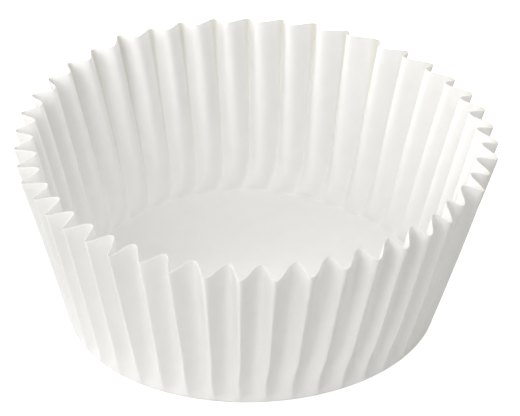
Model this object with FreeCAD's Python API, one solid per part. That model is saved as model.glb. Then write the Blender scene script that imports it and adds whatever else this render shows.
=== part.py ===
import FreeCAD, Part
import math
import os

# Cupcake liner: a flat disc of baking paper pressed into a cup. The round floor stays
# flat, the wall stands up from its edge in flutes that start from nothing and deepen
# all the way to the rim. Millimetres, +Z up, origin at the middle of the underside.

doc = FreeCAD.newDocument("cupcake_liner")

# Driving sizes. "Ridge" is the tight fold on the outside of the wall, "valley" the
# rounder fold on its inside. A valley lies past its ridge by its place, a share of the
# pitch, counted anticlockwise from above. Roundness is the share of each flank that the
# rounding of a fold takes. Ridges are crisp down the wall and open out at the rim.
SIZES = [
    ("flute_count", 45),
    ("paper_thickness", 0.1),
    ("floor_radius", 28.6),
    ("rim_ridge_radius", 36.8),
    ("rim_valley_radius", 34.0),
    ("rim_ridge_height", 27.2),
    ("rim_valley_height", 28.5),
    ("depth_growth", 0.6),
    ("valley_place_floor", 0.58),
    ("valley_place_rim", 0.71),
    ("valley_roundness", 0.46),
    ("ridge_roundness_floor", 0.1),
    ("ridge_roundness_rim", 0.28),
    ("first_ridge_angle", 170.5),
]
sheet = doc.addObject("Spreadsheet::Sheet", "sizes")
for row, (name, value) in enumerate(SIZES, start=1):
    sheet.set("A%d" % row, name)
    sheet.set("B%d" % row, str(value))
    sheet.setAlias("B%d" % row, name)
doc.recompute()

# Levels of the wall, from the edge of the floor to the rim, as shares of its height
LEVELS = [0, 0.04, 0.12, 0.3, 0.55, 0.8, 1]

# Places along the rounding of a fold, from one flank to the next
RIDGE_ROUNDING = [0, 0.5, 1]
VALLEY_ROUNDING = [0, 0.33, 0.67, 1]

flute_count = int(round(sheet.flute_count))
pitch = 2 * math.pi / flute_count
first_angle = math.radians(sheet.first_ridge_angle)


def between(low, high, share):
    return low + (high - low) * share


def on_circle(radius, angle):
    return FreeCAD.Vector(radius * math.cos(angle), radius * math.sin(angle), 0)


def outward(start, end):
    along = (end - start).normalize()
    return FreeCAD.Vector(along.y, -along.x, 0)


# The folds at one level, seen from above and moved sideways by half the paper's
# thickness for either of its two faces. Sharp corners are laid out first, each further
# out or in than the crest of its rounding, then every corner is rounded.
def fold_outline(level, offset):
    ridge_radius = between(sheet.floor_radius, sheet.rim_ridge_radius, level)
    rim_depth = sheet.rim_ridge_radius - sheet.rim_valley_radius
    ridge_roundness = between(sheet.ridge_roundness_floor, sheet.ridge_roundness_rim, level ** 4)
    valley_roundness = sheet.valley_roundness
    crest_depth = rim_depth * level ** sheet.depth_growth
    depth = crest_depth / (1 - (ridge_roundness + valley_roundness) / 2)
    ridge_corner = ridge_radius + depth * ridge_roundness / 2
    place = between(sheet.valley_place_floor, sheet.valley_place_rim, level)
    corners = []
    for flute in range(flute_count):
        angle = first_angle + flute * pitch
        corners.append((on_circle(ridge_corner, angle), ridge_roundness, RIDGE_ROUNDING))
        valley = on_circle(ridge_corner - depth, angle + place * pitch)
        corners.append((valley, valley_roundness, VALLEY_ROUNDING))
    outline = []
    for index, (corner, roundness, places) in enumerate(corners):
        before = corners[index - 1][0]
        after = corners[(index + 1) % len(corners)][0]
        normal_in = outward(before, corner)
        normal_out = outward(corner, after)
        miter = (normal_in + normal_out) * (offset / (1 + normal_in.dot(normal_out)))
        middle = corner + miter
        start = corner + (before - corner) * roundness + normal_in * offset
        end = corner + (after - corner) * roundness + normal_out * offset
        for share in places:
            first = between(start, middle, share)
            second = between(middle, end, share)
            outline.append(between(first, second, share))
    return outline


# The paper is cut level, so once folded the rim rises from each ridge to each valley.
def raised(outline, level, foot):
    ridge_radius = between(sheet.floor_radius, sheet.rim_ridge_radius, level)
    height = between(foot, sheet.rim_ridge_height, level)
    rise = sheet.rim_valley_height - sheet.rim_ridge_height
    rim_depth = sheet.rim_ridge_radius - sheet.rim_valley_radius
    slope = level * rise / rim_depth
    return [
        FreeCAD.Vector(point.x, point.y, height + slope * max(0, ridge_radius - point.Length))
        for point in outline
    ]


def triangle(first, second, third):
    return Part.Face(Part.makePolygon([first, second, third, first]))


# Flat strips of paper between two closed outlines of as many points
def strips(low, high):
    faces = []
    for index in range(len(low)):
        after = (index + 1) % len(low)
        faces.append(triangle(low[index], low[after], high[after]))
        faces.append(triangle(low[index], high[after], high[index]))
    return faces


half = sheet.paper_thickness / 2
outside = [raised(fold_outline(level, half), level, 0) for level in LEVELS]
inside = [raised(fold_outline(level, -half), level, sheet.paper_thickness) for level in LEVELS]

faces = [Part.Face(Part.makePolygon(skin[0] + skin[0][:1])) for skin in (outside, inside)]
for skin in (outside, inside):
    for low, high in zip(skin, skin[1:]):
        faces += strips(low, high)
faces += strips(outside[-1], inside[-1])
shell = Part.makeShell(faces)
shell.sewShape()
solid = Part.makeSolid(shell)
if solid.Volume < 0:
    solid.reverse()

# The liner, one piece of paper
liner = doc.addObject("Part::Feature", "liner")
liner.Label = "liner"
liner.Shape = solid
liner.Placement = FreeCAD.Placement()

doc.recompute()

for item in doc.Objects:
    if "Invalid" in item.State or "Error" in item.State:
        raise RuntimeError("%s failed to recompute" % item.Name)
parts = [liner]
for part in parts:
    if part.Shape.isNull() or not part.Shape.isValid():
        raise RuntimeError("%s has no valid shape" % part.Label)

box = liner.Shape.BoundBox
print("liner: %d solid, volume %.1f mm3" % (len(liner.Shape.Solids), liner.Shape.Volume))
print("box %.2f x %.2f x %.2f mm" % (box.XLength, box.YLength, box.ZLength))

os.makedirs("parts", exist_ok=True)
for part in parts:
    part.Shape.exportStep("parts/%s.step" % part.Label)
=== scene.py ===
import math

import bpy
import numpy as np
from mathutils import Matrix, Vector


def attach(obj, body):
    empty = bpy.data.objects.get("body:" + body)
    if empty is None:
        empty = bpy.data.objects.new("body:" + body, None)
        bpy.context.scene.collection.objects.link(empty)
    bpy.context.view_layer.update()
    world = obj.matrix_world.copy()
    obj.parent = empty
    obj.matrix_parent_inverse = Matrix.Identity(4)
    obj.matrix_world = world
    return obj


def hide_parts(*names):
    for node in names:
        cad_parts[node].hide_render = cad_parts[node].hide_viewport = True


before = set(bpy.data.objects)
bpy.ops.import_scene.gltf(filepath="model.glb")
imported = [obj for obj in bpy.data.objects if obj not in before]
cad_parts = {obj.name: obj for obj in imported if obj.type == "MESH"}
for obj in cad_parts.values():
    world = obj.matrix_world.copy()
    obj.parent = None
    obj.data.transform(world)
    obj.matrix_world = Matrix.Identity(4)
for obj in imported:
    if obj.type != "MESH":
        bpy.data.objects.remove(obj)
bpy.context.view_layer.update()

# A cupcake liner: one disc of baking paper folded into a cup, as one mesh with real thickness.
# Sizes are in millimetres until the mesh is made. A ridge is a tight fold on the outside of the
# wall, a valley a rounder fold on its inside. A level is a share of the wall's height, from 0 at
# the floor to 1 at the rim. Angles run anticlockwise, seen from above, from the right of the
# photograph, so 90 degrees is the back, 180 the left and 270 the front.
MM = 0.001

# Main sizes of the liner
FLUTES = 45
PAPER = 0.1
FLOOR_RADIUS = 28.6
BEND = 0.25
RIM_RIDGE_RADIUS = 36.95
RIM_RIDGE_HEIGHT = 27.3
RIM_VALLEY_RADIUS = 34.05
RIM_VALLEY_HEIGHT = 28.8
FIRST_RIDGE = math.radians(170.5)
PITCH = 2 * math.pi / FLUTES

# The level where the flutes start
FLUTE_START = 0.012

# Where a valley lies, as a share of the pitch past its ridge, at the floor and at the rim
VALLEY_PLACE = (0.57, 0.72)

# Share of each flank that a fold's rounding takes, at the floor and at the rim. The ridges open
# out only near the rim.
RIDGE_ROUNDING = (0.1, 0.28)
RIDGE_OPENS = 5
VALLEY_ROUNDING = (0.56, 0.41)

# How soon the flutes deepen above the floor, and how late the rim's unevenness grows
DEPTH_GROWTH = 0.46
UNEVEN_GROWTH = 1.3

# What differs on one side only: an amount, the side's angle in degrees, and how narrow it is.
# The back of the floor's edge stands off the table. Half way up, the right side of the wall
# leans out a little and the left side in. The flutes deepen more slowly on the left, and the
# ridges are softer on the right. Low on the wall the folds swing one way at the front, and run
# out the other way at the back.
FLOOR_LIFT = (0.9, 98, 16)
BOW_OUT = (0.2, 350, 4)
BOW_IN = (0.3, 190, 4)
SLOWER_GROWTH = (0.14, 170, 3)
SOFTER_RIDGES = (0.22, 345, 3)
SWING_SIDE = (0.55, 300, 8)
RUN_OUT_SIDE = (1.05, 85, 2)

# How the real cup departs from a true circle at the floor and at the rim, how its rim rises and
# sinks, and how its teeth crowd: each row is an amount, its crests in one turn, and where one is.
# Amounts are in millimetres, or in degrees for the crowding.
FLOOR_WAVES = ((0.41, 1, 150), (0.32, 2, -75), (0.32, 3, -20))
RIM_WAVES = ((0.8, 1, 42), (0.42, 2, -67), (0.34, 3, 17))
SAG_WAVES = ((0.15, 1, -165), (0.33, 2, -63), (0.19, 3, -28))
CROWDING_MEAN = 0.2
CROWDING_WAVES = ((1.37, 1, -144), (0.87, 2, -47), (0.63, 3, -45))

# Single folds that stray at the rim, counted anticlockwise from the first ridge: millimetres
# out, degrees round, millimetres up
RIDGE_STRAYS = {
    3: (0.4, 0, 0), 5: (0.4, 0, 0), 6: (0.3, -0.3, 0), 8: (0.4, 0, -0.3), 9: (-0.3, 0.4, 0.3),
    11: (0, 0.6, 0), 12: (0, 0.4, 0), 13: (0.3, 0, -0.2), 14: (0.3, 0, -0.2), 15: (0, 0, -0.2),
    16: (0, 0, -0.2), 17: (-0.3, 0, -0.5), 18: (-0.6, 0, -0.7), 19: (-0.6, 0, -0.8),
    20: (-1.4, -0.3, -0.4), 21: (0, 0, -0.3), 22: (-0.6, 0, 0), 38: (0, -0.5, 0), 39: (0.3, 0, 0.4),
}
VALLEY_STRAYS = {
    1: (-0.4, 0, 0), 8: (0, -1.3, 0.2), 10: (0.2, -0.6, 0), 16: (0, 0.6, 0), 17: (0, 0.4, 0),
    18: (0.4, 0.5, 0), 20: (0.2, 0.4, 0.2), 23: (0.5, 0, 0), 25: (-0.3, 0.2, 0), 30: (0, -0.7, -0.2),
    31: (0.2, 0.8, 0.2), 38: (0.2, 0.6, 0), 39: (0, -0.5, 0), 40: (-0.2, 0.5, 0), 42: (-0.3, 0, 0),
}

# How far the other folds stray at random, in the same units
SMALL_STRAYS = (0.05, 0.1, 0.04)

# The share of the swing that is reached at each of these levels
SWING_LEVELS = (0, 0.08, 0.155, 0.22, 0.28, 0.32, 1)
SWING_SHARES = (0.55, 0.95, 1, 0.6, 0.1, 0, 0)

# How far the folds run out on every side, and the level where they stop
RUN_OUT_LEAST = 0.15
RUN_OUT_LEVEL = 0.25

# Each fold swings and runs out by its own share
SWAY_SHARES = (0.6, 1.2)

# Where the mesh has points along each stretch of a flute: round the ridge, down the long flank,
# round the valley and up the short flank
RIDGE_STEPS = np.arange(4) / 4
LONG_STEPS = np.arange(3) / 3
VALLEY_STEPS = np.arange(8) / 8
SHORT_STEPS = np.arange(2) / 2

# Rings of the mesh: on the floor as shares of its radius, in the bend, and up the wall
FLOOR_RINGS = (0.12, 0.3, 0.5, 0.7, 0.85, 0.95)
BEND_RINGS = 7
WALL_RINGS = 41
TOP_EVEN_LEVEL = 0.975
TOP_LEVELS = (0.988, 1)

# How strong the painted shade in the crease is at each point round a ridge
CREASE_SHADE_ACROSS = (0, 0.6, 1, 0.6)


def between(low, high, share):
    return low + (high - low) * share


def wave(angle, turns, crest):
    return np.cos(turns * (angle - math.radians(crest)))


def waves(angle, rows):
    return sum(amount * wave(angle, turns, crest) for amount, turns, crest in rows)


# The whole amount on the side at the centre, nothing on the far side, and narrower the sharper
def lobe(angle, amount, centre, sharpness):
    return amount * ((1 + wave(angle, 1, centre)) / 2) ** sharpness


def crowding(angle):
    return np.radians(CROWDING_MEAN + waves(angle, CROWDING_WAVES))


def sway(angle, level):
    swing = lobe(angle, *SWING_SIDE) * np.interp(level, SWING_LEVELS, SWING_SHARES)
    fade = max(0, 1 - level / RUN_OUT_LEVEL) ** 2
    run_out = (RUN_OUT_LEAST + lobe(angle, *RUN_OUT_SIDE)) * fade
    return sway_share * (run_out - swing) / FLOOR_RADIUS


def strays(table, seed):
    stray = np.random.default_rng(seed).normal(0, 1, (FLUTES, 3)) * SMALL_STRAYS
    for flute, moved in table.items():
        stray[flute] = moved
    return stray


ridge_stray = strays(RIDGE_STRAYS, 45)
valley_stray = strays(VALLEY_STRAYS, 46)
sway_share = np.random.default_rng(47).uniform(*SWAY_SHARES, FLUTES)


# Share of each flank that the rounding of each ridge takes
def ridge_share(level):
    low, high = RIDGE_ROUNDING
    softer = lobe(FIRST_RIDGE + np.arange(FLUTES) * PITCH, *SOFTER_RIDGES)
    return between(low, high + softer, level ** RIDGE_OPENS)


# One fold's corner in every flute at one level, moved off the true cup
def uneven(angle, radius, height, stray, level):
    grow = level ** UNEVEN_GROWTH
    bow = lobe(angle, *BOW_OUT) - lobe(angle, *BOW_IN)
    radius = radius + grow * (waves(angle, RIM_WAVES) + stray[:, 0])
    radius += (1 - level) * (waves(angle, FLOOR_WAVES) + 4 * level * bow)
    turned = angle + grow * (crowding(angle) + np.radians(stray[:, 1])) + sway(angle, level)
    tall = height + grow * (waves(angle, SAG_WAVES) + stray[:, 2])
    tall = tall + (1 - level) ** 3 * lobe(angle, *FLOOR_LIFT)
    return np.stack([radius * np.cos(turned), radius * np.sin(turned), tall], axis=1)


# Ridge and valley corners of every flute at one level. They lie beyond the crests of the
# folds, because each fold's rounding cuts its corner off.
def corners(level):
    ridge_angle = FIRST_RIDGE + np.arange(FLUTES) * PITCH
    valley_angle = ridge_angle + between(*VALLEY_PLACE, level) * PITCH
    started = max(0, level - FLUTE_START) / (1 - FLUTE_START)
    growth = DEPTH_GROWTH + lobe(ridge_angle, *SLOWER_GROWTH)
    depth = (RIM_RIDGE_RADIUS - RIM_VALLEY_RADIUS) * started ** growth
    full = depth / (1 - (between(*VALLEY_ROUNDING, level) + ridge_share(level)) / 2)
    ridge_radius = between(FLOOR_RADIUS, RIM_RIDGE_RADIUS, level) + full * ridge_share(level) / 2
    height = RIM_RIDGE_HEIGHT * level
    rise = (RIM_VALLEY_HEIGHT - RIM_RIDGE_HEIGHT) * level
    return (
        uneven(ridge_angle, ridge_radius, height, ridge_stray, level),
        uneven(valley_angle, ridge_radius - full, height + rise, valley_stray, level),
    )


def rounding(start, corner, end, steps):
    s = steps[None, :, None]
    return (1 - s) ** 2 * start[:, None] + 2 * s * (1 - s) * corner[:, None] + s ** 2 * end[:, None]


def straight(start, end, steps):
    s = steps[None, :, None]
    return (1 - s) * start[:, None] + s * end[:, None]


# One ring of the wall at one level, with both folds of every flute rounded
def section(level):
    ridge, valley = corners(level)
    next_ridge = np.roll(ridge, -1, axis=0)
    last_valley = np.roll(valley, 1, axis=0)
    tight = ridge_share(level)[:, None]
    wide = between(*VALLEY_ROUNDING, level)
    ridge_start = ridge + (last_valley - ridge) * tight
    ridge_end = ridge + (valley - ridge) * tight
    valley_start = valley + (ridge - valley) * wide
    valley_end = valley + (next_ridge - valley) * wide
    next_start = np.roll(ridge_start, -1, axis=0)
    stretches = [
        rounding(ridge_start, ridge, ridge_end, RIDGE_STEPS),
        straight(ridge_end, valley_start, LONG_STEPS),
        rounding(valley_start, valley, valley_end, VALLEY_STEPS),
        straight(valley_end, next_start, SHORT_STEPS),
    ]
    return np.concatenate(stretches, axis=1).reshape(-1, 3)


# The wall curves up out of the floor over a small bend, then stands straight
slant = math.hypot(RIM_RIDGE_RADIUS - FLOOR_RADIUS, RIM_RIDGE_HEIGHT)
bend_level = BEND / slant
wall_levels = np.append(np.linspace(bend_level, TOP_EVEN_LEVEL, WALL_RINGS), TOP_LEVELS)


# One ring of the bend, at a share of the way from the floor to the wall
def bend_ring(share):
    ring = section(bend_level * share ** 2)
    unit = ring[:, :2] / np.linalg.norm(ring[:, :2], axis=1, keepdims=True)
    ring[:, :2] -= unit * BEND * (1 - share) ** 2
    return ring


# The middle of the paper's thickness: floor, bend and wall, ring by ring
def middle_surface():
    bend_rings = [bend_ring(share) for share in np.linspace(0, 1, BEND_RINGS + 1)[:-1]]
    wall_rings = [section(level) for level in wall_levels]
    floor_rings = [bend_rings[0] * (share, share, share ** 2) for share in FLOOR_RINGS]
    middle = np.array(floor_rings + bend_rings + wall_rings)
    middle[:, :, 2] += PAPER / 2
    return middle


# Half the paper's thickness to either side of its middle
def half_thickness(middle):
    around = np.roll(middle, -1, axis=1) - np.roll(middle, 1, axis=1)
    upward = np.gradient(middle, axis=0)
    normal = np.cross(around, upward)
    normal /= np.linalg.norm(normal, axis=2, keepdims=True)
    return normal * PAPER / 2


middle = middle_surface()
offset = half_thickness(middle)
ring_count, point_count = middle.shape[:2]
skin_points = ring_count * point_count
top = (ring_count - 1) * point_count

# The outside's points, then the inside's, then the middle of the floor below and above
points = np.concatenate([
    (middle + offset).reshape(-1, 3), (middle - offset).reshape(-1, 3), [[0, 0, 0], [0, 0, PAPER]],
]) * MM
faces = []
for ring in range(ring_count - 1):
    for point in range(point_count):
        after = (point + 1) % point_count
        low = ring * point_count + point
        low_after = ring * point_count + after
        high = low + point_count
        high_after = low_after + point_count
        faces.append((low, low_after, high_after, high))
        inner = (low_after, low, high, high_after)
        faces.append(tuple(skin_points + corner for corner in inner))
rim_start = len(faces)

# For each point round the cup: the cut edge, then the middle of the floor below and above
for point in range(point_count):
    after = (point + 1) % point_count
    faces.append((top + point, top + after, skin_points + top + after, skin_points + top + point))
    faces.append((2 * skin_points, after, point))
    faces.append((2 * skin_points + 1, skin_points + point, skin_points + after))

mesh = bpy.data.meshes.new("liner_paper")
mesh.from_pydata([tuple(point) for point in points], [], faces)
mesh.validate()
mesh.polygons.foreach_set("use_smooth", [True] * len(mesh.polygons))


def mark(name, kind, domain, values):
    mesh.attributes.new(name, kind, domain).data.foreach_set("value", values)


# A mark for the material: painted shade in the tight crease inside each ridge, which fades towards
# the floor
low_rings = np.zeros(len(FLOOR_RINGS) + BEND_RINGS)
rest_of_flute = (0,) * (len(LONG_STEPS) + len(VALLEY_STEPS) + len(SHORT_STEPS))
crease_shade = np.zeros((2, ring_count, point_count))
crease_shade[1] = np.outer(
    np.concatenate([low_rings, wall_levels]), np.tile(CREASE_SHADE_ACROSS + rest_of_flute, FLUTES)
)
mark("crease_shade", "FLOAT", "POINT", np.concatenate([crease_shade.ravel(), [0, 0]]))

# Another mark for the material: the cut edge, which is every third face from its first. Its darker
# grey is partly its raw fibres and partly painted shade on the upturned edge
cut = np.zeros(len(faces))
cut[rim_start::3] = 1
mark("cut_edge_fibres_and_shade", "FLOAT", "FACE", cut)

# The cut edge is sharp, and everything else is smooth
rim_points = set(range(top, top + point_count))
rim_points |= {skin_points + point for point in rim_points}
mark("sharp_edge", "BOOLEAN", "EDGE", [set(edge.vertices) <= rim_points for edge in mesh.edges])


def in_scene(name, data):
    item = bpy.data.objects.new(name, data)
    bpy.context.scene.collection.objects.link(item)
    return item


liner = in_scene("liner_paper", mesh)


def new_material(name):
    material = bpy.data.materials.new(name)
    material.use_nodes = True
    material.node_tree.nodes.clear()
    return material, material.node_tree.nodes, material.node_tree.links


# Looks of the paper. A noise's scale is about its number of patches in a metre, and the bump's
# height is in metres.
PAPER_DARK = (0.842, 0.838, 0.824, 1)
PAPER_LIGHT = (0.858, 0.854, 0.842, 1)
# Painted shade for the tight crease inside each ridge
CREASE_SHADE_COLOUR = (0.7, 0.69, 0.61, 1)
# The cut edge's grey: partly its raw fibres, partly painted shade that dims the light on its
# upturned face
CUT_FIBRES_AND_SHADE_COLOUR = (0.68, 0.67, 0.65, 1)
CLOUD_SCALE = 420
CLOUD_DETAIL = 4
CLOUD_RANGE = (0.3, 0.7)
FIBRE_SCALE = 2600
FIBRE_DETAIL = 3
BUMP_STRENGTH = 0.25
BUMP_HEIGHT = 0.00004
ROUGHNESS = 0.75
SPECULAR = 0.25
LIGHT_THROUGH = 0.35


# Baking paper: matt, off-white, a little cloudy, and light shines through it faintly
def baking_paper():
    paper, nodes, links = new_material("baking_paper")
    place = nodes.new("ShaderNodeTexCoord")

    def noise(scale, detail):
        texture = nodes.new("ShaderNodeTexNoise")
        texture.inputs["Scale"].default_value = scale
        texture.inputs["Detail"].default_value = detail
        links.new(place.outputs["Object"], texture.inputs["Vector"])
        return texture.outputs["Fac"]

    # Mixes this colour over the one below where the mesh has the mark
    def over(below, mark_name, colour):
        marked = nodes.new("ShaderNodeAttribute")
        marked.attribute_name = mark_name
        mix = nodes.new("ShaderNodeMix")
        mix.data_type = "RGBA"
        mix.inputs["B"].default_value = colour
        links.new(marked.outputs["Fac"], mix.inputs["Factor"])
        links.new(below, mix.inputs["A"])
        return mix.outputs["Result"]

    cloud = nodes.new("ShaderNodeMapRange")
    cloud.inputs["From Min"].default_value, cloud.inputs["From Max"].default_value = CLOUD_RANGE
    links.new(noise(CLOUD_SCALE, CLOUD_DETAIL), cloud.inputs["Value"])
    cloudy = nodes.new("ShaderNodeMix")
    cloudy.data_type = "RGBA"
    cloudy.inputs["A"].default_value = PAPER_DARK
    cloudy.inputs["B"].default_value = PAPER_LIGHT
    links.new(cloud.outputs["Result"], cloudy.inputs["Factor"])
    # Painted shade in the creases inside the ridges
    crease_shaded = over(cloudy.outputs["Result"], "crease_shade", CREASE_SHADE_COLOUR)
    # The cut edge darkened, partly for its raw fibres and partly as painted shade
    colour = over(crease_shaded, "cut_edge_fibres_and_shade", CUT_FIBRES_AND_SHADE_COLOUR)

    bump = nodes.new("ShaderNodeBump")
    bump.inputs["Strength"].default_value = BUMP_STRENGTH
    bump.inputs["Distance"].default_value = BUMP_HEIGHT
    links.new(noise(FIBRE_SCALE, FIBRE_DETAIL), bump.inputs["Height"])
    surface = nodes.new("ShaderNodeBsdfPrincipled")
    surface.inputs["Roughness"].default_value = ROUGHNESS
    surface.inputs["Specular IOR Level"].default_value = SPECULAR
    links.new(colour, surface.inputs["Base Color"])
    links.new(bump.outputs["Normal"], surface.inputs["Normal"])
    through = nodes.new("ShaderNodeBsdfTranslucent")
    links.new(colour, through.inputs["Color"])
    blend = nodes.new("ShaderNodeMixShader")
    blend.inputs["Fac"].default_value = LIGHT_THROUGH
    links.new(surface.outputs["BSDF"], blend.inputs[1])
    links.new(through.outputs["BSDF"], blend.inputs[2])
    output = nodes.new("ShaderNodeOutputMaterial")
    links.new(blend.outputs["Shader"], output.inputs["Surface"])
    return paper


liner.data.materials.append(baking_paper())

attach(liner, "root")
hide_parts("liner")

# The floor of the studio, in metres, just under the cup
FLOOR_HALF_WIDTH = 1.5
FLOOR_DROP = 0.00003
FLOOR_GREY = (0.4, 0.4, 0.4, 1)
FLOOR_GLOW = 0.85


# A grey floor with a glow that only the camera, reflections and light through the paper see. It
# shows as pure white, and what it throws back onto the outside of the cup is a grey floor's.
def white_floor():
    white, nodes, links = new_material("white_floor")
    matt = nodes.new("ShaderNodeBsdfDiffuse")
    matt.inputs["Color"].default_value = FLOOR_GREY
    glow = nodes.new("ShaderNodeEmission")
    glow.inputs["Strength"].default_value = FLOOR_GLOW
    glowing = nodes.new("ShaderNodeAddShader")
    links.new(matt.outputs["BSDF"], glowing.inputs[0])
    links.new(glow.outputs["Emission"], glowing.inputs[1])
    ray = nodes.new("ShaderNodeLightPath")
    seen = ray.outputs["Is Camera Ray"]
    for kind in ("Is Glossy Ray", "Is Transmission Ray"):
        either = nodes.new("ShaderNodeMath")
        either.operation = "MAXIMUM"
        links.new(seen, either.inputs[0])
        links.new(ray.outputs[kind], either.inputs[1])
        seen = either.outputs["Value"]
    choose = nodes.new("ShaderNodeMixShader")
    links.new(seen, choose.inputs["Fac"])
    links.new(matt.outputs["BSDF"], choose.inputs[1])
    links.new(glowing.outputs["Shader"], choose.inputs[2])
    output = nodes.new("ShaderNodeOutputMaterial")
    links.new(choose.outputs["Shader"], output.inputs["Surface"])
    return white


floor_mesh = bpy.data.meshes.new("floor")
half = FLOOR_HALF_WIDTH
floor_mesh.from_pydata(
    [(-half, -half, 0), (half, -half, 0), (half, half, 0), (-half, half, 0)], [], [(0, 1, 2, 3)]
)
floor_mesh.materials.append(white_floor())
floor = in_scene("floor", floor_mesh)
floor.location.z = -FLOOR_DROP

# Soft round lamps, each at an azimuth and an elevation in degrees, with its power in watts.
# Distances and widths are in metres.
LAMP_DISTANCE = 0.9
LAMP_WIDTH = 0.4
LAMP_AIM = Vector((0, 0, 0.02))
LAMPS = [
    ("key_front_left", 210, 40, 0.8),
    ("left", 180, 15, 2.2),
    ("low_front_left", 238, 18, 1.9),
    ("front_left", 240, 40, 1.3),
    ("overhead", 0, 90, 1.2),
    ("behind", 90, 40, 3.8),
    ("behind_left", 150, 40, 1.4),
]
WORLD_LIGHT = 0.85


def add_lamp(name, azimuth, elevation, power):
    azimuth = math.radians(azimuth)
    elevation = math.radians(elevation)
    across = math.cos(elevation)
    direction = Vector((across * math.cos(azimuth), across * math.sin(azimuth), math.sin(elevation)))
    data = bpy.data.lights.new(name, "AREA")
    data.shape = "DISK"
    data.size = LAMP_WIDTH
    data.energy = power
    lamp = in_scene(name, data)
    lamp.location = direction * LAMP_DISTANCE
    lamp.rotation_euler = (LAMP_AIM - lamp.location).to_track_quat("-Z", "Y").to_euler()


for row in LAMPS:
    add_lamp(*row)

world = bpy.data.worlds.new("studio")
world.use_nodes = True
world.node_tree.nodes["Background"].inputs["Color"].default_value = (1, 1, 1, 1)
world.node_tree.nodes["Background"].inputs["Strength"].default_value = WORLD_LIGHT
bpy.context.scene.world = world

# A long lens in front of the cup that looks down at about 33 degrees, as fitted to the
# photograph. Tilt and roll are in radians, and the lens is in pixels of the picture.
CAMERA_TILT = 0.57212
CAMERA_ROLL = 0.00698
RIM = 36.8 * MM
CAMERA_DISTANCE = 19.516 * RIM
CAMERA_AIM = Vector((0.0407 * RIM - 0.17 * MM, 0.29 * MM, 0.43878 * RIM))
LENS_PIXELS = 4703.8
PICTURE_PIXELS = 520
SENSOR_WIDTH = 36
NEAREST_SEEN = 0.05
FARTHEST_SEEN = 20

forward = Vector((0, math.cos(CAMERA_TILT), -math.sin(CAMERA_TILT)))
level_right = Vector((1, 0, 0))
level_up = level_right.cross(forward)
right = level_right * math.cos(CAMERA_ROLL) - level_up * math.sin(CAMERA_ROLL)
up = level_right * math.sin(CAMERA_ROLL) + level_up * math.cos(CAMERA_ROLL)
eye = CAMERA_AIM - forward * CAMERA_DISTANCE
camera_data = bpy.data.cameras.new("camera")
camera_data.sensor_width = SENSOR_WIDTH
camera_data.lens = LENS_PIXELS / PICTURE_PIXELS * SENSOR_WIDTH
camera_data.clip_start = NEAREST_SEEN
camera_data.clip_end = FARTHEST_SEEN
camera = in_scene("camera", camera_data)
turn = Matrix((right, up, -forward)).transposed().to_4x4()
camera.matrix_world = Matrix.Translation(eye) @ turn
bpy.context.scene.camera = camera

bpy.context.scene.view_settings.view_transform = "Standard"
